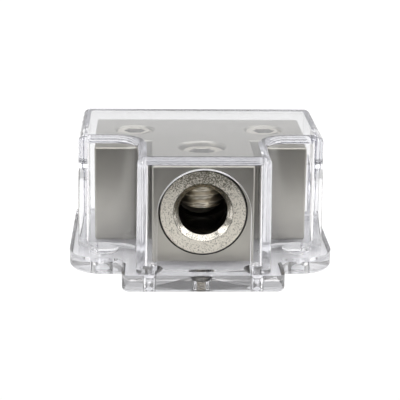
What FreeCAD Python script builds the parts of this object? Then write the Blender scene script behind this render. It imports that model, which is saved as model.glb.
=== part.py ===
import FreeCAD, Part
import math
import os

# A T-shaped power distribution block: one wide cable port in front, two smaller
# ones at the sides, under a clear lift-off cover on a clear base plate.
# Millimetres. X is the width, Y the depth with the front at -Y, Z is up.
# The origin is at the centre of the base plate's underside.

# Terminal block: a wide bar with a stem that points to the front
BAR_WIDTH = 44.2
BAR_DEPTH = 20.0
BLOCK_HEIGHT = 20.0
STEM_LENGTH = 15.2
STEM_BESIDE_RING = 1.5
BLOCK_EDGE_ROUND = 0.45

# Front port, with a ring pressed into its mouth
FRONT_PORT_ABOVE_MIDDLE = 0.4
FRONT_BORE_DEPTH = 18.0
BORE_STEP_BEHIND_RING = 0.45
RING_TO_BLOCK_EDGE = 1.3
RING_BAND = 3.75
RING_LENGTH = 5.0
RING_PROUD = 0.3
RING_MOUTH_CHAMFER = 1.05
RING_RIM_CHAMFER = 0.12
RING_SEAT_CLEARANCE = 0.02
RING_RELIEF_WIDTH = 0.18
RING_RELIEF_DEPTH = 1.0

# Side ports, at half the block's height
SIDE_BORE_DIAMETER = 6.6
SIDE_BORE_DEPTH = 14.0
SIDE_MOUTH_CHAMFER = 0.5
DRILL_POINT_ANGLE = 118.0

# Set screws: 3/8-16 x 3/8 in front, 5/16-18 x 1/4 at the sides
FRONT_SCREW_DIAMETER = 9.525
FRONT_SCREW_LENGTH = 9.525
FRONT_SCREW_RECESS = 0.9
FRONT_SCREW_BEHIND_RING = 0.54
FRONT_SOCKET_FLATS = 4.76
SIDE_SCREW_DIAMETER = 7.94
SIDE_SCREW_LENGTH = 6.35
SIDE_SCREW_RECESS = 0.2
SIDE_SCREW_FROM_END = 8.32
SIDE_SOCKET_FLATS = 3.97
SOCKET_DEPTH = 3.2
SCREW_TIP_CHAMFER = 0.8
SCREW_TOP_CHAMFER = 0.35
SCREW_CUP_DIAMETER = 4.6
SCREW_CUP_DEPTH = 0.6
SCREW_CLEARANCE = 0.05
SCREW_HOLE_PAST_PORT = 0.3

# Countersunk screws that hold the block to the base from below
HOLDING_SCREW_DIAMETER = 3.0
HOLDING_HEAD_DIAMETER = 6.0
HOLDING_SCREW_LENGTH = 6.0
HOLDING_HEAD_ANGLE = 90.0
HOLDING_HEAD_SUNK = 0.15
HOLDING_SOCKET_FLATS = 2.0
HOLDING_SOCKET_DEPTH = 1.2
HOLDING_HOLE_DIAMETER = 3.5
HOLDING_THREAD_CLEARANCE = 0.05
HOLDING_FRONT_FROM_BAR = 4.6
HOLDING_REAR_FROM_BAR = 11.0
TAPPED_HOLE_RUNOUT = 0.6

# Clear cover: a drafted T-shaped shell, open below, sized at its foot
COVER_WALL = 1.8
COVER_TOP_THICKNESS = 1.8
COVER_DRAFT_ANGLE = 0.8
COVER_SIDE_GAP = 1.7
COVER_BACK_GAP = 2.35
COVER_STEP_GAP = 2.27
COVER_STEM_SIDE_GAP = 1.4
COVER_STEM_FRONT_GAP = 5.17
COVER_HEADROOM = 1.4
COVER_TOP_ROUND = 1.5
COVER_CORNER_ROUND = 2.0
COVER_INSIDE_CORNER_ROUND = 0.9
COVER_ROOT_ROUND = 4.4
FRONT_ARCH_ROUND_RING = 0.5
FRONT_ARCH_BELOW_CEILING = 0.6
SIDE_ARCH_ROUND_BORE = 2.3
SIDE_ARCH_ABOVE_PORT = 0.4

# Pegs in the cover's front corners, and their holes in the base
PEG_DIAMETER = 2.4
PEG_LENGTH = 2.6
PEG_TIP_CHAMFER = 0.4
PEG_BOSS_DIAMETER = 3.0
PEG_BOSS_HEIGHT = 1.0
PEG_FROM_STEM_SIDE_WALL = 0.9
PEG_FROM_STEM_FRONT_WALL = 0.9
PEG_CLEARANCE = 0.05
PEG_HOLE_LEAD_IN = 1.4

# Clear base plate: a flange round the cover, with an ear at each side of the front tab
BASE_THICKNESS = 3.55
PLATEAU_HEIGHT = 0.5
PLATEAU_CLEARANCE = 0.35
BASE_FLANGE = 1.6
TAB_LIP = 0.2
TAB_SIDE_MARGIN = 2.75
TAB_CORNER_ROUND = 1.8
TAB_ROOT_ROUND = 1.0
BASE_BACK_CORNER_ROUND = 3.0
BASE_UNDER_ROUND = 0.8
EAR_RADIUS = 7.1
EAR_FROM_TAB_FRONT = 17.9
EAR_HOLE_DIAMETER = 3.8
EAR_COUNTERBORE_DIAMETER = 6.1
EAR_COUNTERBORE_DEPTH = 1.7

# Sizes that follow from the ones above
RING_OUTER_DIAMETER = BLOCK_HEIGHT - 2 * RING_TO_BLOCK_EDGE
RING_BORE_DIAMETER = RING_OUTER_DIAMETER - 2 * RING_BAND
FRONT_BORE_DIAMETER = RING_BORE_DIAMETER + 2 * BORE_STEP_BEHIND_RING
STEM_WIDTH = RING_OUTER_DIAMETER + 2 * STEM_BESIDE_RING
DRAFT_SLOPE = math.tan(math.radians(COVER_DRAFT_ANGLE))
SEAT_Z = BASE_THICKNESS + PLATEAU_HEIGHT
BLOCK_TOP_Z = SEAT_Z + BLOCK_HEIGHT
COVER_CEILING_Z = BLOCK_TOP_Z + COVER_HEADROOM
COVER_TOP_Z = COVER_CEILING_Z + COVER_TOP_THICKNESS
COVER_BAR_HALF = BAR_WIDTH / 2 + COVER_SIDE_GAP + COVER_WALL
COVER_STEM_HALF = STEM_WIDTH / 2 + COVER_STEM_SIDE_GAP + COVER_WALL
COVER_BACK_REACH = BAR_DEPTH + COVER_BACK_GAP + COVER_WALL
COVER_FRONT_REACH = STEM_LENGTH + COVER_STEM_FRONT_GAP + COVER_WALL
BASE_BACK_REACH = COVER_BACK_REACH + BASE_FLANGE
BASE_FRONT_REACH = COVER_FRONT_REACH + TAB_LIP
BAR_FRONT_Y = (BASE_FRONT_REACH - BASE_BACK_REACH) / 2
STEM_FRONT_Y = BAR_FRONT_Y - STEM_LENGTH
COVER_BACK_Y = BAR_FRONT_Y + COVER_BACK_REACH
COVER_STEP_Y = BAR_FRONT_Y - COVER_STEP_GAP - COVER_WALL
COVER_FRONT_Y = BAR_FRONT_Y - COVER_FRONT_REACH
BASE_BACK_Y = BAR_FRONT_Y + BASE_BACK_REACH
BASE_FRONT_Y = BAR_FRONT_Y - BASE_FRONT_REACH
BASE_HALF = COVER_BAR_HALF + BASE_FLANGE
TAB_HALF = COVER_STEM_HALF + TAB_SIDE_MARGIN
EAR_X = BASE_HALF - EAR_RADIUS
EAR_Y = BASE_FRONT_Y + EAR_FROM_TAB_FRONT
EAR_FRONT_Y = EAR_Y - EAR_RADIUS
SIDE_PORT_Z = SEAT_Z + BLOCK_HEIGHT / 2
FRONT_PORT_Z = SIDE_PORT_Z + FRONT_PORT_ABOVE_MIDDLE
FRONT_ARCH_RADIUS = RING_OUTER_DIAMETER / 2 + FRONT_ARCH_ROUND_RING
FRONT_ARCH_CENTRE_Z = COVER_CEILING_Z - FRONT_ARCH_BELOW_CEILING - FRONT_ARCH_RADIUS
SIDE_ARCH_RADIUS = SIDE_BORE_DIAMETER / 2 + SIDE_ARCH_ROUND_BORE
SIDE_ARCH_CENTRE_Z = SIDE_PORT_Z + SIDE_ARCH_ABOVE_PORT
BAR_MIDDLE_Y = BAR_FRONT_Y + BAR_DEPTH / 2
SIDE_SCREW_X = BAR_WIDTH / 2 - SIDE_SCREW_FROM_END
PEG_X = COVER_STEM_HALF - COVER_WALL - PEG_FROM_STEM_SIDE_WALL
PEG_Y = COVER_FRONT_Y + COVER_WALL + PEG_FROM_STEM_FRONT_WALL
HOLDING_SCREW_YS = (BAR_FRONT_Y - HOLDING_FRONT_FROM_BAR, BAR_FRONT_Y + HOLDING_REAR_FROM_BAR)
RING_SEAT_RADIUS = RING_OUTER_DIAMETER / 2 + RING_SEAT_CLEARANCE
RING_SEAT_DEPTH = RING_LENGTH - RING_PROUD
FRONT_SCREW_FROM_FACE = RING_SEAT_DEPTH + FRONT_SCREW_BEHIND_RING + FRONT_SCREW_DIAMETER / 2
FRONT_SCREW_Y = STEM_FRONT_Y + FRONT_SCREW_FROM_FACE

# How far a cutter runs past the face it opens, the share of a corner that a rounding may
# take up, and how near two places are to count as one
CUT_OVERRUN = 1.0
CORNER_SHARE = 0.95
SAME_PLACE = 0.0001

X_AXIS = FreeCAD.Vector(1, 0, 0)
Y_AXIS = FreeCAD.Vector(0, 1, 0)
Z_AXIS = FreeCAD.Vector(0, 0, 1)


def point(x, y, z):
    return FreeCAD.Vector(x, y, z)


def cylinder(radius, start, direction, length):
    return Part.makeCylinder(radius, length, start, direction)


def cone(start_radius, end_radius, start, direction, length):
    return Part.makeCone(start_radius, end_radius, length, start, direction)


def rounded_outline(corners, z):
    """A closed wire through corners given as (x, y, radius), each rounded by its own arc."""
    places = [point(x, y, z) for x, y, _ in corners]
    edges = []
    arcs = []
    for i, (_, _, radius) in enumerate(corners):
        here = places[i]
        back = (places[i - 1] - here).normalize()
        ahead = (places[(i + 1) % len(places)] - here).normalize()
        half_turn = back.getAngle(ahead) / 2
        reach = radius / math.tan(half_turn)
        middle = (back + ahead).normalize()
        centre = here + middle * (radius / math.sin(half_turn))
        arcs.append((here + back * reach, centre - middle * radius, here + ahead * reach))
    for i, (start, halfway, end) in enumerate(arcs):
        edges.append(Part.Arc(start, halfway, end).toShape())
        edges.append(Part.LineSegment(end, arcs[(i + 1) % len(arcs)][0]).toShape())
    return Part.Wire(edges)


def tee_corners(inset, corner_round, root_round):
    """The cover's T outline at its foot, moved inwards by inset all round."""
    bar = COVER_BAR_HALF - inset
    stem = COVER_STEM_HALF - inset
    front = COVER_FRONT_Y + inset
    step = COVER_STEP_Y + inset
    back = COVER_BACK_Y - inset
    return [
        (-stem, front, corner_round),
        (stem, front, corner_round),
        (stem, step, root_round),
        (bar, step, corner_round),
        (bar, back, corner_round),
        (-bar, back, corner_round),
        (-bar, step, corner_round),
        (-stem, step, root_round),
    ]


def drafted_tee(inset, top_z, corner_round, root_round):
    """A solid with the cover's T outline that narrows upwards by the moulding draft.

    The rounded corners keep their axes on the way up, so each of them is a cone.
    """
    narrowing = draft_narrowing(top_z)
    foot_corners = tee_corners(inset, corner_round, root_round)
    top_corners = tee_corners(inset + narrowing, corner_round - narrowing, root_round + narrowing)
    outlines = [rounded_outline(foot_corners, BASE_THICKNESS), rounded_outline(top_corners, top_z)]
    return Part.makeLoft(outlines, True, True)


def draft_narrowing(z):
    """How far the cover's walls lean inwards from their foot up to height z."""
    return (z - BASE_THICKNESS) * DRAFT_SLOPE


def flat_edges(shape, axis, place):
    """The edges that lie wholly at one place along an axis, given as x, y or z."""
    low = axis.upper() + "Min"
    high = axis.upper() + "Max"
    found = []
    for edge in shape.Edges:
        box = edge.BoundBox
        if abs(getattr(box, low) - place) < SAME_PLACE and abs(getattr(box, high) - place) < SAME_PLACE:
            found.append(edge)
    return found


def arch_cutter(half_width, centre_z, start, direction, length):
    """An upright arch with straight legs down past the foot, pushed along direction."""
    across = direction.cross(Z_AXIS)
    low_z = BASE_THICKNESS - CUT_OVERRUN

    def place(sideways, z):
        return point(start.x, start.y, z) + across * sideways

    left_foot = place(-half_width, low_z)
    left_spring = place(-half_width, centre_z)
    crown = place(0, centre_z + half_width)
    right_spring = place(half_width, centre_z)
    right_foot = place(half_width, low_z)
    outline = [
        Part.LineSegment(left_foot, left_spring),
        Part.Arc(left_spring, crown, right_spring),
        Part.LineSegment(right_spring, right_foot),
        Part.LineSegment(right_foot, left_foot),
    ]
    return Part.Face(Part.Wire([curve.toShape() for curve in outline])).extrude(direction * length)


def hexagon_prism(flats, x, y, z, depth):
    """A six-sided prism that hangs down from height z."""
    corner_radius = flats / math.sqrt(3)
    corners = []
    for step in range(7):
        angle = step * math.pi / 3
        corners.append(point(x + corner_radius * math.cos(angle), y + corner_radius * math.sin(angle), z))
    return Part.Face(Part.makePolygon(corners)).extrude(Z_AXIS * -depth)


def drilled_hole(radius, mouth, inwards, depth):
    """A blind hole with a drill point at its end."""
    point_length = radius / math.tan(math.radians(DRILL_POINT_ANGLE / 2))
    start = mouth - inwards * CUT_OVERRUN
    end = mouth + inwards * depth
    hole = cylinder(radius, start, inwards, depth + CUT_OVERRUN)
    return hole.fuse(cone(radius, 0, end, inwards, point_length))


def mouth_chamfer(radius, size, mouth, inwards):
    """The cone that breaks the edge of a hole of that radius."""
    start = mouth - inwards * size
    return cone(radius + 2 * size, radius, start, inwards, 2 * size)


def terminal_block():
    bar_corner = point(-BAR_WIDTH / 2, BAR_FRONT_Y, SEAT_Z)
    stem_corner = point(-STEM_WIDTH / 2, STEM_FRONT_Y, SEAT_Z)
    bar = Part.makeBox(BAR_WIDTH, BAR_DEPTH, BLOCK_HEIGHT, bar_corner)
    stem = Part.makeBox(STEM_WIDTH, STEM_LENGTH + CUT_OVERRUN, BLOCK_HEIGHT, stem_corner)
    block = bar.fuse(stem).removeSplitter()
    block = block.makeFillet(BLOCK_EDGE_ROUND, outer_edges(block))

    cutters = [front_port_cutter()]
    cutters += [side_port_cutter(side) for side in (-1, 1)]
    front_floor_z = FRONT_PORT_Z - FRONT_BORE_DIAMETER / 2 - SCREW_HOLE_PAST_PORT
    side_floor_z = SIDE_PORT_Z - SIDE_BORE_DIAMETER / 2 - SCREW_HOLE_PAST_PORT
    cutters.append(screw_hole(FRONT_SCREW_DIAMETER, point(0, FRONT_SCREW_Y, front_floor_z)))
    for side in (-1, 1):
        side_floor = point(side * SIDE_SCREW_X, BAR_MIDDLE_Y, side_floor_z)
        cutters.append(screw_hole(SIDE_SCREW_DIAMETER, side_floor))
    for y in HOLDING_SCREW_YS:
        cutters.append(holding_thread(y))
    return block.cut(cutters).removeSplitter()


def outer_edges(block):
    """All edges of the block, apart from the two upright inner corners of the T."""
    edges = []
    for edge in block.Edges:
        middle = edge.BoundBox.Center
        upright = edge.BoundBox.ZLength > BLOCK_HEIGHT / 2
        at_bar_front = abs(middle.y - BAR_FRONT_Y) < SAME_PLACE
        beside_stem = abs(abs(middle.x) - STEM_WIDTH / 2) < SAME_PLACE
        if not (upright and at_bar_front and beside_stem):
            edges.append(edge)
    return edges


def front_port_cutter():
    """The bore, the ring's seat and a narrow relief round the ring at the face."""
    mouth = point(0, STEM_FRONT_Y, FRONT_PORT_Z)
    outside = mouth - Y_AXIS * CUT_OVERRUN
    bore = drilled_hole(FRONT_BORE_DIAMETER / 2, mouth, Y_AXIS, FRONT_BORE_DEPTH)
    seat = cylinder(RING_SEAT_RADIUS, outside, Y_AXIS, RING_SEAT_DEPTH + CUT_OVERRUN)
    relief_radius = RING_SEAT_RADIUS + RING_RELIEF_WIDTH
    relief = cylinder(relief_radius, outside, Y_AXIS, RING_RELIEF_DEPTH + CUT_OVERRUN)
    return bore.fuse([seat, relief])


def side_port_cutter(side):
    mouth = point(side * BAR_WIDTH / 2, BAR_MIDDLE_Y, SIDE_PORT_Z)
    inwards = X_AXIS * -side
    bore = drilled_hole(SIDE_BORE_DIAMETER / 2, mouth, inwards, SIDE_BORE_DEPTH)
    return bore.fuse(mouth_chamfer(SIDE_BORE_DIAMETER / 2, SIDE_MOUTH_CHAMFER, mouth, inwards))


def screw_hole(diameter, floor):
    """A hole from the top down through the port below it, to a floor in its far wall."""
    radius = diameter / 2 + SCREW_CLEARANCE
    mouth = point(floor.x, floor.y, BLOCK_TOP_Z)
    hole = cylinder(radius, floor, Z_AXIS, BLOCK_TOP_Z - floor.z + CUT_OVERRUN)
    return hole.fuse(mouth_chamfer(radius, SCREW_TOP_CHAMFER, mouth, Z_AXIS * -1))


def holding_thread(y):
    """The tapped hole in the block's underside, a little deeper than its screw."""
    radius = HOLDING_SCREW_DIAMETER / 2 + HOLDING_THREAD_CLEARANCE
    screw_tip_z = HOLDING_HEAD_SUNK + HOLDING_SCREW_LENGTH
    depth = screw_tip_z + TAPPED_HOLE_RUNOUT - SEAT_Z
    return drilled_hole(radius, point(0, y, SEAT_Z), Z_AXIS, depth)


def port_ring():
    mouth = point(0, STEM_FRONT_Y - RING_PROUD, FRONT_PORT_Z)
    outside = mouth - Y_AXIS * CUT_OVERRUN
    ring = cylinder(RING_OUTER_DIAMETER / 2, mouth, Y_AXIS, RING_LENGTH)
    ring = ring.makeChamfer(RING_RIM_CHAMFER, flat_edges(ring, "y", mouth.y))
    bore = cylinder(RING_BORE_DIAMETER / 2, outside, Y_AXIS, RING_LENGTH + 2 * CUT_OVERRUN)
    return ring.cut([bore, mouth_chamfer(RING_BORE_DIAMETER / 2, RING_MOUTH_CHAMFER, mouth, Y_AXIS)])


def set_screw(diameter, length, socket_flats, x, y, top_z):
    """A headless screw with a hexagon socket above and a cup point below."""
    radius = diameter / 2
    tip_z = top_z - length
    tip_radius = radius - SCREW_TIP_CHAMFER
    shank_z = tip_z + SCREW_TIP_CHAMFER
    shank_top_z = top_z - SCREW_TOP_CHAMFER
    shank = cylinder(radius, point(x, y, shank_z), Z_AXIS, shank_top_z - shank_z)
    tip = cone(tip_radius, radius, point(x, y, tip_z), Z_AXIS, SCREW_TIP_CHAMFER)
    crown_start = point(x, y, shank_top_z)
    crown = cone(radius, radius - SCREW_TOP_CHAMFER, crown_start, Z_AXIS, SCREW_TOP_CHAMFER)
    body = shank.fuse([tip, crown]).removeSplitter()
    socket = hexagon_prism(socket_flats, x, y, top_z + CUT_OVERRUN, SOCKET_DEPTH + CUT_OVERRUN)
    cup = cone(SCREW_CUP_DIAMETER / 2, 0, point(x, y, tip_z), Z_AXIS, SCREW_CUP_DEPTH)
    return body.cut([socket, cup])


def front_set_screw():
    top_z = BLOCK_TOP_Z - FRONT_SCREW_RECESS
    sizes = (FRONT_SCREW_DIAMETER, FRONT_SCREW_LENGTH, FRONT_SOCKET_FLATS)
    return set_screw(*sizes, 0, FRONT_SCREW_Y, top_z)


def side_set_screw(side):
    top_z = BLOCK_TOP_Z - SIDE_SCREW_RECESS
    sizes = (SIDE_SCREW_DIAMETER, SIDE_SCREW_LENGTH, SIDE_SOCKET_FLATS)
    return set_screw(*sizes, side * SIDE_SCREW_X, BAR_MIDDLE_Y, top_z)


def head_length(diameter, narrow_diameter):
    """The height of a countersink between two diameters."""
    return (diameter - narrow_diameter) / 2 / math.tan(math.radians(HOLDING_HEAD_ANGLE / 2))


def holding_screw(y):
    start = point(0, y, HOLDING_HEAD_SUNK)
    head_radius = HOLDING_HEAD_DIAMETER / 2
    shank_radius = HOLDING_SCREW_DIAMETER / 2
    taper = head_length(HOLDING_HEAD_DIAMETER, HOLDING_SCREW_DIAMETER)
    head = cone(head_radius, shank_radius, start, Z_AXIS, taper)
    shank = cylinder(shank_radius, start, Z_AXIS, HOLDING_SCREW_LENGTH)
    body = head.fuse(shank).removeSplitter()
    socket_top_z = HOLDING_HEAD_SUNK + HOLDING_SOCKET_DEPTH
    socket_depth = HOLDING_SOCKET_DEPTH + CUT_OVERRUN
    return body.cut(hexagon_prism(HOLDING_SOCKET_FLATS, 0, y, socket_top_z, socket_depth))


def holding_screws():
    return Part.makeCompound([holding_screw(y) for y in HOLDING_SCREW_YS])


def holding_screw_hole(y):
    """The countersunk hole in the base, with the head's own seat."""
    head_radius = HOLDING_HEAD_DIAMETER / 2
    hole_radius = HOLDING_HOLE_DIAMETER / 2
    seat_taper = head_length(HOLDING_HEAD_DIAMETER, HOLDING_HOLE_DIAMETER)
    below = point(0, y, -CUT_OVERRUN)
    recess = cylinder(head_radius, below, Z_AXIS, CUT_OVERRUN + HOLDING_HEAD_SUNK)
    seat = cone(head_radius, hole_radius, point(0, y, HOLDING_HEAD_SUNK), Z_AXIS, seat_taper)
    through = cylinder(hole_radius, below, Z_AXIS, SEAT_Z + 2 * CUT_OVERRUN)
    return recess.fuse([seat, through])


def base_plate():
    root_round = min(TAB_ROOT_ROUND, (EAR_X - TAB_HALF) / 2)
    corners = [
        (-TAB_HALF, BASE_FRONT_Y, TAB_CORNER_ROUND),
        (TAB_HALF, BASE_FRONT_Y, TAB_CORNER_ROUND),
        (TAB_HALF, EAR_FRONT_Y, root_round),
        (BASE_HALF, EAR_FRONT_Y, EAR_RADIUS),
        (BASE_HALF, BASE_BACK_Y, BASE_BACK_CORNER_ROUND),
        (-BASE_HALF, BASE_BACK_Y, BASE_BACK_CORNER_ROUND),
        (-BASE_HALF, EAR_FRONT_Y, EAR_RADIUS),
        (-TAB_HALF, EAR_FRONT_Y, root_round),
    ]
    plate = Part.Face(rounded_outline(corners, 0)).extrude(Z_AXIS * BASE_THICKNESS)
    plate = plate.makeFillet(BASE_UNDER_ROUND, flat_edges(plate, "z", 0))
    plate = plate.fuse(plateau()).removeSplitter()

    cutters = [holding_screw_hole(y) for y in HOLDING_SCREW_YS]
    for side in (-1, 1):
        cutters.append(ear_hole(side * EAR_X))
        cutters.append(peg_hole(side * PEG_X))
    return plate.cut(cutters)


def plateau():
    """The raised middle of the base, which lies inside the cover's foot all round."""
    inset = COVER_WALL + PLATEAU_CLEARANCE
    start_z = BASE_THICKNESS / 2
    corners = tee_corners(inset, COVER_INSIDE_CORNER_ROUND, COVER_ROOT_ROUND + inset)
    return Part.Face(rounded_outline(corners, start_z)).extrude(Z_AXIS * (SEAT_Z - start_z))


def ear_hole(x):
    """A hole for a fixing screw, with a flat-bottomed seat for its head."""
    floor_z = BASE_THICKNESS - EAR_COUNTERBORE_DEPTH
    below = point(x, EAR_Y, -CUT_OVERRUN)
    through = cylinder(EAR_HOLE_DIAMETER / 2, below, Z_AXIS, BASE_THICKNESS + 2 * CUT_OVERRUN)
    floor = point(x, EAR_Y, floor_z)
    seat_depth = EAR_COUNTERBORE_DEPTH + CUT_OVERRUN
    return through.fuse(cylinder(EAR_COUNTERBORE_DIAMETER / 2, floor, Z_AXIS, seat_depth))


def peg_hole(x):
    """A round hole through the base for one of the cover's pegs, with a wide lead-in."""
    radius = PEG_DIAMETER / 2 + PEG_CLEARANCE
    through = cylinder(radius, point(x, PEG_Y, -CUT_OVERRUN), Z_AXIS, SEAT_Z + 2 * CUT_OVERRUN)
    return through.fuse(mouth_chamfer(radius, PEG_HOLE_LEAD_IN, point(x, PEG_Y, SEAT_Z), Z_AXIS * -1))


def cover_peg(side):
    """A boss in the front corner of the shell, with a peg below it."""
    x = side * PEG_X
    radius = PEG_DIAMETER / 2
    tip_z = SEAT_Z - PEG_LENGTH
    shank_z = tip_z + PEG_TIP_CHAMFER
    boss = cylinder(PEG_BOSS_DIAMETER / 2, point(x, PEG_Y, SEAT_Z), Z_AXIS, PEG_BOSS_HEIGHT)
    shank = cylinder(radius, point(x, PEG_Y, shank_z), Z_AXIS, SEAT_Z + PEG_BOSS_HEIGHT - shank_z)
    tip = cone(radius - PEG_TIP_CHAMFER, radius, point(x, PEG_Y, tip_z), Z_AXIS, PEG_TIP_CHAMFER)
    return boss.fuse([shank, tip])


def cover():
    top_corner = COVER_CORNER_ROUND - draft_narrowing(COVER_TOP_Z)
    top_round = min(COVER_TOP_ROUND, CORNER_SHARE * top_corner)
    outside = drafted_tee(0, COVER_TOP_Z, COVER_CORNER_ROUND, COVER_ROOT_ROUND)
    outside = outside.makeFillet(top_round, flat_edges(outside, "z", COVER_TOP_Z))
    inside_root = COVER_ROOT_ROUND + COVER_WALL
    inside = drafted_tee(COVER_WALL, COVER_CEILING_Z, COVER_INSIDE_CORNER_ROUND, inside_root)
    shell = outside.cut(inside)

    cut_length = COVER_WALL + 2 * CUT_OVERRUN
    front_start = point(0, COVER_FRONT_Y - CUT_OVERRUN, 0)
    cutters = [arch_cutter(FRONT_ARCH_RADIUS, FRONT_ARCH_CENTRE_Z, front_start, Y_AXIS, cut_length)]
    for side in (-1, 1):
        start = point(side * (COVER_BAR_HALF + CUT_OVERRUN), BAR_MIDDLE_Y, 0)
        inwards = X_AXIS * -side
        cutters.append(arch_cutter(SIDE_ARCH_RADIUS, SIDE_ARCH_CENTRE_Z, start, inwards, cut_length))
    shell = shell.cut(cutters)
    return shell.fuse([cover_peg(side) for side in (-1, 1)]).removeSplitter()


PARTS = {
    "base_plate": base_plate,
    "cover": cover,
    "terminal_block": terminal_block,
    "port_ring": port_ring,
    "front_set_screw": front_set_screw,
    "left_set_screw": lambda: side_set_screw(-1),
    "right_set_screw": lambda: side_set_screw(1),
    "holding_screws": holding_screws,
}

os.makedirs("parts", exist_ok=True)
for name, build in PARTS.items():
    build().exportStep("parts/" + name + ".step")
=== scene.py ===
import math

import bpy
from mathutils import Matrix, Vector


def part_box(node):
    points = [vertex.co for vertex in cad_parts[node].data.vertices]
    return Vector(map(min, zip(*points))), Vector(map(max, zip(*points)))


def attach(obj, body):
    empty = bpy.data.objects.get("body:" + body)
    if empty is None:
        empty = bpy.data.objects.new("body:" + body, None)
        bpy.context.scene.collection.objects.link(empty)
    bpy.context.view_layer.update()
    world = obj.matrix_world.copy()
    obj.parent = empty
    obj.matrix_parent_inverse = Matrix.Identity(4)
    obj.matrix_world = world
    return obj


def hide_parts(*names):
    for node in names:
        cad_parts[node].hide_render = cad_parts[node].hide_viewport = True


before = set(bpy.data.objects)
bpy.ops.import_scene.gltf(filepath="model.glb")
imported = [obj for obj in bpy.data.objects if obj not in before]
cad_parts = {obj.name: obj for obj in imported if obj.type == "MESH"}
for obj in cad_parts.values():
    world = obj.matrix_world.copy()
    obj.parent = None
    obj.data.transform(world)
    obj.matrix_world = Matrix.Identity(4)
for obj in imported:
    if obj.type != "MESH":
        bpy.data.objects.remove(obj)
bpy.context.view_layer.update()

# A power distribution block: a T-shaped nickel-plated block with threaded set screws, on a
# clear base plate under a clear cover. All lengths are in metres.
MM = 0.001

# Camera, fitted to the photograph
VIEW_ELEVATION = math.radians(15.99)
VIEW_YAW = math.radians(2.26)
VIEW_ROLL = math.radians(0.71)
VIEW_DISTANCE = 297.86 * MM
VIEW_AIM = Vector((0.0, -1.69, 4.05)) * MM
VIEW_RIGHTWARDS = 0.05 * MM
VIEW_UPWARDS = 8.26 * MM
SENSOR_WIDTH_MM = 36.0
LENS_MM = 126.54
NEAREST_SEEN = 0.01
FARTHEST_SEEN = 10.0

# Set screws, cut with inch threads
INCH = 25.4 * MM
FRONT_THREAD_PITCH = INCH / 16
SIDE_THREAD_PITCH = INCH / 18
FRONT_SOCKET_FLATS = 4.76 * MM
SIDE_SOCKET_FLATS = 3.97 * MM
SOCKET_DEPTH = 3.2 * MM
SOCKET_EDGE_BREAK = 0.12 * MM
SOCKET_FLOOR_SHARE = 0.42
DRILL_POINT_DEPTH = 0.5 * MM
SCREW_TIP_CHAMFER = 0.8 * MM
SCREW_TOP_CHAMFER = 0.35 * MM
SCREW_CUP_RADIUS = 2.3 * MM
SCREW_CUP_DEPTH = 0.6 * MM

# The two countersunk screws that hold the block from below
HOLDING_THREAD_PITCH = 0.5 * MM
HOLDING_SHANK_RADIUS = 1.5 * MM
HOLDING_SOCKET_FLATS = 2.0 * MM
HOLDING_SOCKET_DEPTH = 1.2 * MM

# Threads: depth as a share of the pitch, and where crest and root end in half a turn
THREAD_DEPTH_SHARE = 0.6134
THREAD_CREST_START = 0.86
THREAD_ROOT_END = 0.22

# Meshes of the screws
ROWS_PER_TURN = 10
SIDES = 96
SMOOTH_ANGLE = math.radians(35)

# Plated metal
CLOUD_SCALE = 220.0
CLOUD_DETAIL = 2.0
GRAIN_DETAIL = 3.0
GRAIN_RELIEF = 0.05 * MM
# Painted shade in hollows: how far it looks, its samples, its colour, and the heights where the screws'
# painted shade changes from threads to sockets
PAINTED_SHADE_REACH = 4.0 * MM
PAINTED_SHADE_SAMPLES = 8
PAINTED_SHADE_COLOUR = (0.0, 0.0, 0.0)
SOCKET_FLOOR_HEIGHTS = (19.7 * MM, 19.9 * MM)

# The ring in the front port, and the wall of its seat in the block, which is painted black as shade, as is
# the ring's rim
RING_RADIUS = 8.7 * MM
RING_RIM_WIDTH = 0.3 * MM
SEAT_WALL_RADIUS = 8.95 * MM
SEAT_WALL_HALF_LENGTH = 2.3 * MM
MOUTH_RADIUS = 6.0 * MM
MOUTH_EDGE_BLUR = 0.15 * MM
# Painted shade along the edge of the mouth: its strength where the grain is low and high
MOUTH_EDGE_SHADE = (1.7, 0.68)
MOUTH_EDGE_SHADE_GRAIN = (0.4, 0.6)
MOUTH_ROUGHNESS_SHARE = 0.45
RING_GRAIN_SCALE = 5200.0
RING_GRAIN_DETAIL = 4.0
RING_SPECKLE_GRAIN = (0.3, 0.5)
RING_WAVE_SCALE = 1300.0
RING_WAVE_DETAIL = 2.0
RING_WAVE_STRENGTH = 0.5
RING_WAVE_RELIEF = 0.08 * MM
# How strongly painted shade darkens the ring's hollows
RING_PAINTED_SHADE_STRENGTH = 1.5
# Painted shade at the top of the ring: dark speckles grow by this much between these heights above its
# middle
TOP_SHADE_HEIGHTS = (2.0 * MM, 8.5 * MM)
TOP_SHADE_STRENGTH = 0.16

# Clear plastic
PLASTIC_IOR = 1.49
PLASTIC_DEPTH_COLOUR = (0.0, 0.0, 0.12)
FLOW_SCALE = 90.0
FLOW_DETAIL = 1.0
FLOW_STRENGTH = 0.05
FLOW_RELIEF = 0.1 * MM

# The cover's foot, which stands on the base, and the cut edge of its front arch
COVER_FOOT_Z = 3.55 * MM
CONTACT_SLACK = 0.01 * MM
ARCH_MIDDLE_Z = 15.65 * MM
ARCH_RADIUS = 9.2 * MM
ARCH_EDGE_SLACK = 0.05 * MM
ARCH_WALL_BACK = -21.0 * MM
ARCH_EDGE_FROST = 0.5

# How often light may be turned back inside the clear plastic before it is given up
LIGHT_PATH_LENGTH = 32

WHITE = (1.0, 1.0, 1.0)

# Studio, as mirrors and light see it: where a direction's Y and Z change its brightness
STUDIO_DEPTHS = (-0.7, 0.8)
STUDIO_HEIGHTS = (0.35, 0.9)
STUDIO_FRONT = 0.22
STUDIO_BACK = 0.70
STUDIO_OVERHEAD = 0.4

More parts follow.
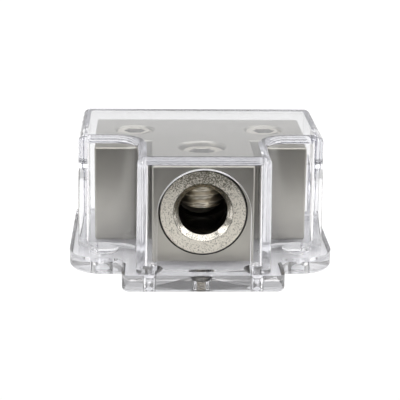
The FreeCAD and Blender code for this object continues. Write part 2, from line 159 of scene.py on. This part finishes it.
# Floor, with a painted pool of light: pale near the object and dark far in front of it
FLOOR_HALF = 600 * MM
FLOOR_AIR_GAP = 0.05 * MM
FLOOR_POOL_EDGE_DEPTHS = (-50 * MM, -88 * MM)
FLOOR_POOL_COLOUR = (0.88, 0.88, 0.88)
FLOOR_BEYOND_POOL_COLOUR = (0.06, 0.06, 0.06)
FLOOR_ROUGHNESS = 0.9
FLOOR_GLOW = 1.12
FLOOR_GLOW_SHARE = 0.85

# Soft square lamps: place, size and power in watts
LAMPS = {
    "top_lamp": ((0.05, 0.0, 0.50), 0.8, 4.0),
    "left_lamp": ((-0.45, -0.30, 0.30), 0.30, 1.2),
    "right_lamp": ((0.45, -0.25, 0.25), 0.30, 0.9),
}
LAMP_AIM = Vector((0, 0, 12)) * MM


def corners(node):
    """A node's lowest and highest corners."""
    return [Vector(corner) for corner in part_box(node)]


def hexagon_reach(angle, flats):
    """How far a hexagon's wall lies from its centre in one direction."""
    sixth = math.pi / 3
    return flats / 2 / math.cos(angle % sixth - sixth / 2)


def thread_fill(turn):
    """How deep the groove is at a share of a turn: 0 at the crest, 1 at the root."""
    across = abs(2 * (turn % 1.0) - 1)
    depth = (THREAD_CREST_START - across) / (THREAD_CREST_START - THREAD_ROOT_END)
    return min(max(depth, 0.0), 1.0)


def loop_of_points(centre, z, reach):
    """One loop of points at height z, where reach gives the distance from the axis at an angle."""
    points = []
    for i in range(SIDES):
        angle = 2 * math.pi * i / SIDES
        out = reach(angle)
        points.append(Vector((centre.x + out * math.cos(angle), centre.y + out * math.sin(angle), z)))
    return points


def round_loop(centre, z, radius):
    return loop_of_points(centre, z, lambda angle: radius)


def hexagon_loop(centre, z, flats):
    return loop_of_points(centre, z, lambda angle: hexagon_reach(angle, flats))


def thread_loops(centre, low, high, pitch, outline):
    """The loops of a threaded shank, which stays inside the radius that outline gives at a height."""
    rows = round((high - low) / pitch * ROWS_PER_TURN)
    crest = outline((low + high) / 2)
    depth = pitch * THREAD_DEPTH_SHARE

    def loop_at(z):
        turns = (z - low) / pitch
        limit = outline(z)

        def reach(angle):
            return min(limit, crest - depth * thread_fill(turns - angle / (2 * math.pi)))

        return loop_of_points(centre, z, reach)

    return [loop_at(low + (high - low) * row / rows) for row in range(rows + 1)]


def socket_loops(centre, mouth_z, floor_z, flats):
    """The loops of a hexagon socket from its broken edge to its floor."""
    step = SOCKET_EDGE_BREAK if floor_z < mouth_z else -SOCKET_EDGE_BREAK
    return [
        hexagon_loop(centre, mouth_z, flats + 2 * SOCKET_EDGE_BREAK),
        hexagon_loop(centre, mouth_z - step, flats),
        hexagon_loop(centre, floor_z, flats),
        round_loop(centre, floor_z, flats * SOCKET_FLOOR_SHARE),
    ]


def skin(loops, first_tip, last_tip):
    """The points and faces of a closed skin over loops of points, ended in a point at each end."""
    points = [first_tip] + [p for loop in loops for p in loop] + [last_tip]
    last = len(points) - 1
    faces = []
    for i in range(SIDES):
        j = (i + 1) % SIDES
        faces.append((0, 1 + j, 1 + i))
        for row in range(len(loops) - 1):
            base = 1 + row * SIDES
            faces.append((base + i, base + j, base + SIDES + j, base + SIDES + i))
        base = 1 + (len(loops) - 1) * SIDES
        faces.append((base + i, base + j, last))
    return points, faces


def screw_piece(node, body, skins):
    """A screw made of closed skins, smooth over their gentle edges, in the place of its node."""
    points = []
    faces = []
    for skin_points, skin_faces in skins:
        start = len(points)
        points += skin_points
        faces += [tuple(start + i for i in face) for face in skin_faces]
    name = node + "_threaded"
    mesh = bpy.data.meshes.new(name)
    mesh.from_pydata(points, [], faces)
    mesh.validate()
    mesh.shade_smooth()
    mesh.set_sharp_from_angle(angle=SMOOTH_ANGLE)
    mesh.materials.append(materials["screw_steel"])
    piece = bpy.data.objects.new(name, mesh)
    bpy.context.scene.collection.objects.link(piece)
    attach(piece, body)
    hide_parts(node)


def set_screw(node, body, pitch, flats):
    """A headless threaded screw with a cup point below and a hexagon socket above."""
    low, high = corners(node)
    centre = (low + high) / 2
    radius = (high.x - low.x) / 2
    tip_radius = radius - SCREW_TIP_CHAMFER
    top_radius = radius - SCREW_TOP_CHAMFER

    def outline(z):
        return min(radius, tip_radius + z - low.z, top_radius + high.z - z)

    loops = [round_loop(centre, low.z, SCREW_CUP_RADIUS)]
    loops += thread_loops(centre, low.z, high.z, pitch, outline)
    loops += socket_loops(centre, high.z, high.z - SOCKET_DEPTH, flats)
    cup = Vector((centre.x, centre.y, low.z + SCREW_CUP_DEPTH))
    floor = Vector((centre.x, centre.y, high.z - SOCKET_DEPTH - DRILL_POINT_DEPTH))
    screw_piece(node, body, [skin(loops, cup, floor)])


def holding_screws():
    """Both countersunk screws, seen through the clear base."""
    low, high = corners("holding_screws")
    head_radius = (high.x - low.x) / 2
    head_z = low.z + head_radius - HOLDING_SHANK_RADIUS
    floor_z = low.z + HOLDING_SOCKET_DEPTH
    skins = []
    for y in (low.y + head_radius, high.y - head_radius):
        centre = Vector((0, y, 0))
        socket = socket_loops(centre, low.z, floor_z, HOLDING_SOCKET_FLATS)
        loops = socket[::-1]
        loops.append(round_loop(centre, low.z, head_radius))
        loops += thread_loops(centre, head_z, high.z, HOLDING_THREAD_PITCH, lambda z: HOLDING_SHANK_RADIUS)
        skins.append(skin(loops, Vector((0, y, floor_z)), Vector((0, y, high.z))))
    screw_piece("holding_screws", "base", skins)


class Tree:
    """The nodes of a material or of the world, with short calls for the steps that repeat."""

    def __init__(self, owner):
        owner.use_nodes = True
        self.nodes = owner.node_tree.nodes
        self.links = owner.node_tree.links

    def feed(self, node, inputs):
        """Gives inputs, by name or number, a number, a colour, a vector or another node's output."""
        for key, value in inputs.items():
            if isinstance(value, bpy.types.NodeSocket):
                self.links.new(value, node.inputs[key])
            elif isinstance(value, tuple):
                node.inputs[key].default_value = (*value, 1)
            else:
                node.inputs[key].default_value = value

    def add(self, kind, inputs, **settings):
        """A node of one kind, with its settings and inputs."""
        node = self.nodes.new(kind)
        for key, value in settings.items():
            setattr(node, key, value)
        self.feed(node, inputs)
        return node

    def place(self):
        """The place of a point in the object's own frame."""
        return self.add("ShaderNodeTexCoord", {}).outputs["Object"]

    def parts(self, vector):
        """The parts of a place or a direction, under the names X, Y and Z."""
        return self.add("ShaderNodeSeparateXYZ", {"Vector": vector}).outputs

    def compute(self, operation, *terms):
        """The result of a calculation on numbers and other nodes' outputs."""
        inputs = dict(enumerate(terms))
        return self.add("ShaderNodeMath", inputs, operation=operation).outputs["Value"]

    def times(self, first, second):
        return self.compute("MULTIPLY", first, second)

    def from_to(self, value, low, high):
        """1 where a value lies from low to high, 0 elsewhere."""
        return self.compute("COMPARE", value, (low + high) / 2, (high - low) / 2)

    def distance(self, sideways, upwards):
        """How far a place lies from an axis, from its two offsets."""
        squares = [self.times(offset, offset) for offset in (sideways, upwards)]
        return self.compute("SQRT", self.compute("ADD", *squares))

    def spread(self, value, low, high):
        """Maps 0 to 1 evenly to low to high."""
        inputs = {"Value": value, "To Min": low, "To Max": high}
        return self.add("ShaderNodeMapRange", inputs).outputs["Result"]

    def graded(self, value, start, end, low, high):
        """Maps start to end of a value smoothly to low to high, held at both ends."""
        inputs = {"Value": value, "From Min": start, "From Max": end, "To Min": low, "To Max": high}
        return self.add("ShaderNodeMapRange", inputs, interpolation_type="SMOOTHSTEP").outputs["Result"]

    def noise(self, place, scale, detail):
        inputs = {"Vector": place, "Scale": scale, "Detail": detail}
        return self.add("ShaderNodeTexNoise", inputs).outputs["Fac"]

    def bump(self, height, strength, relief):
        inputs = {"Height": height, "Strength": strength, "Distance": relief}
        return self.add("ShaderNodeBump", inputs).outputs["Normal"]

    def mixed(self, share, first, second):
        """The colour between two others."""
        mix = self.add("ShaderNodeMix", {"Factor": share}, data_type="RGBA")
        colours = [i for i, socket in enumerate(mix.inputs) if socket.type == "RGBA"]
        self.feed(mix, dict(zip(colours, (first, second))))
        return next(socket for socket in mix.outputs if socket.type == "RGBA")

    def layered(self, share, first, second):
        """The shader between two others."""
        return self.add("ShaderNodeMixShader", {0: share, 1: first, 2: second}).outputs["Shader"]


def new_material(name):
    """A material and its tree, which starts with a Principled shader and an output."""
    material = bpy.data.materials.new(name)
    return material, Tree(material)


def painted_hollow_shade(tree, colour, strength):
    """Paints shade into a colour in holes, threads and corners."""
    inputs = {"Distance": PAINTED_SHADE_REACH}
    shade = tree.add("ShaderNodeAmbientOcclusion", inputs, only_local=True, samples=PAINTED_SHADE_SAMPLES)
    open_share = tree.compute("POWER", shade.outputs["AO"], strength)
    return tree.mixed(open_share, PAINTED_SHADE_COLOUR, colour)


def from_ring(tree, place):
    """A place as seen from the middle of the ring: X sideways, Y along the port and Z up."""
    middle = sum(corners("port_ring"), Vector()) / 2
    offset = tree.add("ShaderNodeVectorMath", {0: place, 1: middle}, operation="SUBTRACT")
    return tree.parts(offset.outputs["Vector"])


def painted_seat_shadow(tree, place):
    """1 on the walls of the ring's seat, where black is painted as shade, 0 elsewhere."""
    offset = from_ring(tree, place)
    reach = tree.distance(offset["X"], offset["Z"])
    round_ring = tree.from_to(reach, RING_RADIUS - RING_RIM_WIDTH, SEAT_WALL_RADIUS)
    beside_ring = tree.from_to(offset["Y"], -SEAT_WALL_HALF_LENGTH, SEAT_WALL_HALF_LENGTH)
    return tree.times(round_ring, beside_ring)


def only_outside(tree):
    """1 outside the metal and 0 inside, so that light turned back where plastic touches it gets out."""
    inside = tree.add("ShaderNodeNewGeometry", {}).outputs["Backfacing"]
    return tree.compute("SUBTRACT", 1.0, inside)


def plated_metal(name, dark, light, roughness, grain_scale, grain_strength, hollow_shade_strengths):
    """Plated metal: cloudy colour, uneven sheen and a fine blasted grain, with painted shade in hollows
    and on the wall of the ring's seat.

    The last argument gives how strongly painted shade darkens hollows below and above the floors of the
    sockets.
    """
    material, tree = new_material(name)
    place = tree.place()
    clouds = tree.noise(place, CLOUD_SCALE, CLOUD_DETAIL)
    grain = tree.noise(place, grain_scale, GRAIN_DETAIL)
    # Painted shade in hollows, with a strength that changes at the floors of the sockets
    strength = tree.graded(tree.parts(place)["Z"], *SOCKET_FLOOR_HEIGHTS, *hollow_shade_strengths)
    colour = painted_hollow_shade(tree, tree.mixed(clouds, dark, light), strength)
    tree.feed(tree.nodes["Principled BSDF"], {
        # Painted shade: the wall of the ring's seat is black
        "Base Color": tree.mixed(painted_seat_shadow(tree, place), colour, PAINTED_SHADE_COLOUR),
        "Roughness": tree.spread(clouds, *roughness),
        "Normal": tree.bump(grain, grain_strength, GRAIN_RELIEF),
        "Metallic": 1.0,
        "Alpha": only_outside(tree),
    })
    return material


def turned_metal(name, dark, light, roughness):
    """The ring's metal: speckled, with painted shade: more dark speckles at the top, a black rim, a dark
    line at the edge of its mouth and dark hollows.
    """
    material, tree = new_material(name)
    place = tree.place()
    offset = from_ring(tree, place)
    reach = tree.distance(offset["X"], offset["Z"])
    waves = tree.noise(place, RING_WAVE_SCALE, RING_WAVE_DETAIL)
    grain = tree.noise(place, RING_GRAIN_SCALE, RING_GRAIN_DETAIL)
    # Painted shade: more dark speckles towards the top of the ring
    top_shade = tree.graded(offset["Z"], *TOP_SHADE_HEIGHTS, 0.0, TOP_SHADE_STRENGTH)
    speckles_and_top_shade = tree.graded(tree.compute("SUBTRACT", grain, top_shade), *RING_SPECKLE_GRAIN, 0.0, 1.0)
    colour = tree.mixed(speckles_and_top_shade, dark, light)
    # Painted shade: the ring's outer rim turns black
    within_rim = tree.graded(reach, RING_RADIUS - RING_RIM_WIDTH, RING_RADIUS, 1.0, 0.0)
    # Painted shade: a dark line along the edge of the mouth, broken up by the grain
    edge_radii = (MOUTH_RADIUS - MOUTH_EDGE_BLUR, MOUTH_RADIUS + MOUTH_EDGE_BLUR)
    beyond_mouth = tree.graded(reach, *edge_radii, 0.0, 1.0)
    mouth_edge = tree.compute("PINGPONG", beyond_mouth, 0.5)
    mouth_shade = tree.times(mouth_edge, tree.graded(grain, *MOUTH_EDGE_SHADE_GRAIN, *MOUTH_EDGE_SHADE))
    unshaded = tree.times(within_rim, tree.compute("SUBTRACT", 1.0, mouth_shade))
    colour = tree.mixed(unshaded, PAINTED_SHADE_COLOUR, colour)
    roughness_share = tree.graded(beyond_mouth, 0.0, 1.0, MOUTH_ROUGHNESS_SHARE, 1.0)
    tree.feed(tree.nodes["Principled BSDF"], {
        "Base Color": painted_hollow_shade(tree, colour, RING_PAINTED_SHADE_STRENGTH),
        "Roughness": tree.times(tree.spread(grain, *roughness), roughness_share),
        "Normal": tree.bump(waves, RING_WAVE_STRENGTH, RING_WAVE_RELIEF),
        "Metallic": 1.0,
    })
    return material


def on_arch_edge(tree, place):
    """1 on the cut edge of the cover's front arch, 0 elsewhere."""
    offset = tree.parts(place)
    rise = tree.compute("MAXIMUM", tree.compute("SUBTRACT", offset["Z"], ARCH_MIDDLE_Z), 0.0)
    reach = tree.distance(offset["X"], rise)
    within = tree.compute("LESS_THAN", reach, ARCH_RADIUS + ARCH_EDGE_SLACK)
    in_wall = tree.compute("LESS_THAN", offset["Y"], ARCH_WALL_BACK)
    return tree.times(within, in_wall)


def on_base(tree, place):
    """1 on the face of the cover's foot, 0 elsewhere."""
    return tree.compute("COMPARE", tree.parts(place)["Z"], COVER_FOOT_Z, CONTACT_SLACK)


def clear_plastic(name, tint, roughness, shadow_tint, density, is_cover):
    """Clear moulded plastic that lets the lamps through to what is inside.

    The cover's front arch has a frosted edge. The face of its foot lies on the base, and is left
    to the base's own surface, so that light is bent there only once.
    """
    material, tree = new_material(name)
    place = tree.place()
    flow = tree.noise(place, FLOW_SCALE, FLOW_DETAIL)
    haze = tree.spread(flow, *roughness)
    passes = tree.add("ShaderNodeLightPath", {}).outputs["Is Shadow Ray"]
    if is_cover:
        haze = tree.compute("MAXIMUM", haze, tree.times(on_arch_edge(tree, place), ARCH_EDGE_FROST))
        passes = tree.compute("MAXIMUM", passes, on_base(tree, place))
    shader = tree.nodes["Principled BSDF"]
    tree.feed(shader, {
        "Base Color": tint,
        "Roughness": haze,
        "Normal": tree.bump(flow, FLOW_STRENGTH, FLOW_RELIEF),
        "Transmission Weight": 1.0,
        "IOR": PLASTIC_IOR,
    })
    see_through = tree.add("ShaderNodeBsdfTransparent", {"Color": shadow_tint})
    depth = tree.add("ShaderNodeVolumeAbsorption", {"Color": PLASTIC_DEPTH_COLOUR, "Density": density})
    tree.feed(tree.nodes["Material Output"], {
        "Surface": tree.layered(passes, shader.outputs["BSDF"], see_through.outputs["BSDF"]),
        "Volume": depth.outputs["Volume"],
    })
    return material


def make_world():
    """A white background, and a grey studio for mirrors and light, brighter behind the object.

    What is seen straight or through clear plastic has had no bounce off a surface, so it is white.
    """
    world = bpy.data.worlds.new("studio")
    bpy.context.scene.world = world
    tree = Tree(world)
    direction = tree.parts(tree.add("ShaderNodeTexCoord", {}).outputs["Generated"])
    depth = tree.graded(direction["Y"], *STUDIO_DEPTHS, STUDIO_FRONT, STUDIO_BACK)
    height = tree.graded(direction["Z"], *STUDIO_HEIGHTS, 1.0, STUDIO_OVERHEAD)
    path = tree.add("ShaderNodeLightPath", {}).outputs
    bounces = tree.compute("ADD", path["Diffuse Depth"], path["Glossy Depth"])
    seen = tree.compute("LESS_THAN", bounces, 0.5)
    room = tree.nodes["Background"]
    tree.feed(room, {"Color": WHITE, "Strength": tree.times(depth, height)})
    white = tree.add("ShaderNodeBackground", {"Color": WHITE})
    surface = tree.layered(seen, room.outputs["Background"], white.outputs["Background"])
    tree.feed(tree.nodes["World Output"], {"Surface": surface})


def make_floor():
    """A floor that is seen white with a faint shadow; its colour holds a painted pool of light, pale near
    the object and dark far in front. A sliver of air lies between it and the base.
    """
    signs = ((-1, -1), (1, -1), (1, 1), (-1, 1))
    points = [(x * FLOOR_HALF, y * FLOOR_HALF, -FLOOR_AIR_GAP) for x, y in signs]
    mesh = bpy.data.meshes.new("floor")
    mesh.from_pydata(points, [], [(0, 1, 2, 3)])
    floor = bpy.data.objects.new("floor", mesh)
    bpy.context.scene.collection.objects.link(floor)
    material, tree = new_material("floor")
    # Painted pool of light: the floor's colour is pale near the object and dark far in front of it
    beyond_pool = tree.graded(tree.parts(tree.place())["Y"], *FLOOR_POOL_EDGE_DEPTHS, 0.0, 1.0)
    colour = tree.mixed(beyond_pool, FLOOR_POOL_COLOUR, FLOOR_BEYOND_POOL_COLOUR)
    shader = tree.nodes["Principled BSDF"]
    tree.feed(shader, {"Base Color": colour, "Roughness": FLOOR_ROUGHNESS})
    glow = tree.add("ShaderNodeEmission", {"Strength": FLOOR_GLOW})
    straight = tree.add("ShaderNodeLightPath", {}).outputs["Is Camera Ray"]
    share = tree.times(straight, FLOOR_GLOW_SHARE)
    surface = tree.layered(share, shader.outputs["BSDF"], glow.outputs["Emission"])
    tree.feed(tree.nodes["Material Output"], {"Surface": surface})
    mesh.materials.append(material)


def area_lamp(name, place, size, power):
    """A soft square lamp that faces the object."""
    data = bpy.data.lights.new(name, "AREA")
    data.size = size
    data.energy = power
    lamp = bpy.data.objects.new(name, data)
    lamp.location = place
    lamp.rotation_euler = (LAMP_AIM - Vector(place)).to_track_quat("-Z", "Y").to_euler()
    bpy.context.scene.collection.objects.link(lamp)


def make_camera():
    """A camera that stands where the photograph was taken from."""
    forward = Vector((
        math.sin(VIEW_YAW) * math.cos(VIEW_ELEVATION),
        math.cos(VIEW_YAW) * math.cos(VIEW_ELEVATION),
        -math.sin(VIEW_ELEVATION),
    ))
    level = Vector((math.cos(VIEW_YAW), -math.sin(VIEW_YAW), 0))
    upright = level.cross(forward)
    right = level * math.cos(VIEW_ROLL) + upright * math.sin(VIEW_ROLL)
    up = upright * math.cos(VIEW_ROLL) - level * math.sin(VIEW_ROLL)
    place = VIEW_AIM - forward * VIEW_DISTANCE + right * VIEW_RIGHTWARDS + up * VIEW_UPWARDS
    data = bpy.data.cameras.new("camera")
    data.lens = LENS_MM
    data.sensor_width = SENSOR_WIDTH_MM
    data.clip_start = NEAREST_SEEN
    data.clip_end = FARTHEST_SEEN
    camera = bpy.data.objects.new("camera", data)
    turn = Matrix((right, up, -forward)).transposed()
    camera.matrix_world = Matrix.Translation(place) @ turn.to_4x4()
    bpy.context.scene.collection.objects.link(camera)
    bpy.context.scene.camera = camera


materials = {
    "satin_nickel": plated_metal(
        "satin_nickel",
        dark=(0.375, 0.36, 0.325),
        light=(0.428, 0.414, 0.378),
        roughness=(0.285, 0.325),
        grain_scale=5200.0,
        grain_strength=0.2,
        # Painted shade in hollows, below and above the socket floors
        hollow_shade_strengths=(1.6, 1.0),
    ),
    "ring_nickel": turned_metal(
        "ring_nickel",
        dark=(0.16, 0.15, 0.12),
        light=(0.74, 0.70, 0.62),
        roughness=(0.30, 0.45),
    ),
    "screw_steel": plated_metal(
        "screw_steel",
        dark=(0.62, 0.58, 0.51),
        light=(0.82, 0.78, 0.69),
        roughness=(0.285, 0.33),
        grain_scale=7000.0,
        grain_strength=0.15,
        # Painted shade: light on the threads, dark in the sockets
        hollow_shade_strengths=(0.2, 8.0),
    ),
    "clear_cover": clear_plastic(
        "clear_cover",
        tint=(0.97, 0.97, 0.975),
        roughness=(0.0, 0.03),
        shadow_tint=(0.93, 0.93, 0.94),
        density=9.0,
        is_cover=True,
    ),
    "clear_base": clear_plastic(
        "clear_base",
        tint=(0.97, 0.97, 0.98),
        roughness=(0.0, 0.02),
        shadow_tint=(0.90, 0.90, 0.92),
        density=3.0,
        is_cover=False,
    ),
}

slots_of_kept_nodes = {
    "base_plate": "clear_base",
    "cover": "clear_cover",
    "terminal_block": "satin_nickel",
    "port_ring": "ring_nickel",
}
for node, slot in slots_of_kept_nodes.items():
    for material_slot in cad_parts[node].material_slots:
        material_slot.material = materials[slot]

set_screw("front_set_screw", "front_screw", FRONT_THREAD_PITCH, FRONT_SOCKET_FLATS)
for side in ("left", "right"):
    set_screw(side + "_set_screw", side + "_screw", SIDE_THREAD_PITCH, SIDE_SOCKET_FLATS)
holding_screws()

make_world()
make_floor()
for name, (place, size, power) in LAMPS.items():
    area_lamp(name, place, size, power)
make_camera()
bpy.context.scene.view_settings.view_transform = "Standard"
light_paths = bpy.context.scene.cycles
light_paths.max_bounces = LIGHT_PATH_LENGTH
light_paths.glossy_bounces = LIGHT_PATH_LENGTH
light_paths.transmission_bounces = LIGHT_PATH_LENGTH
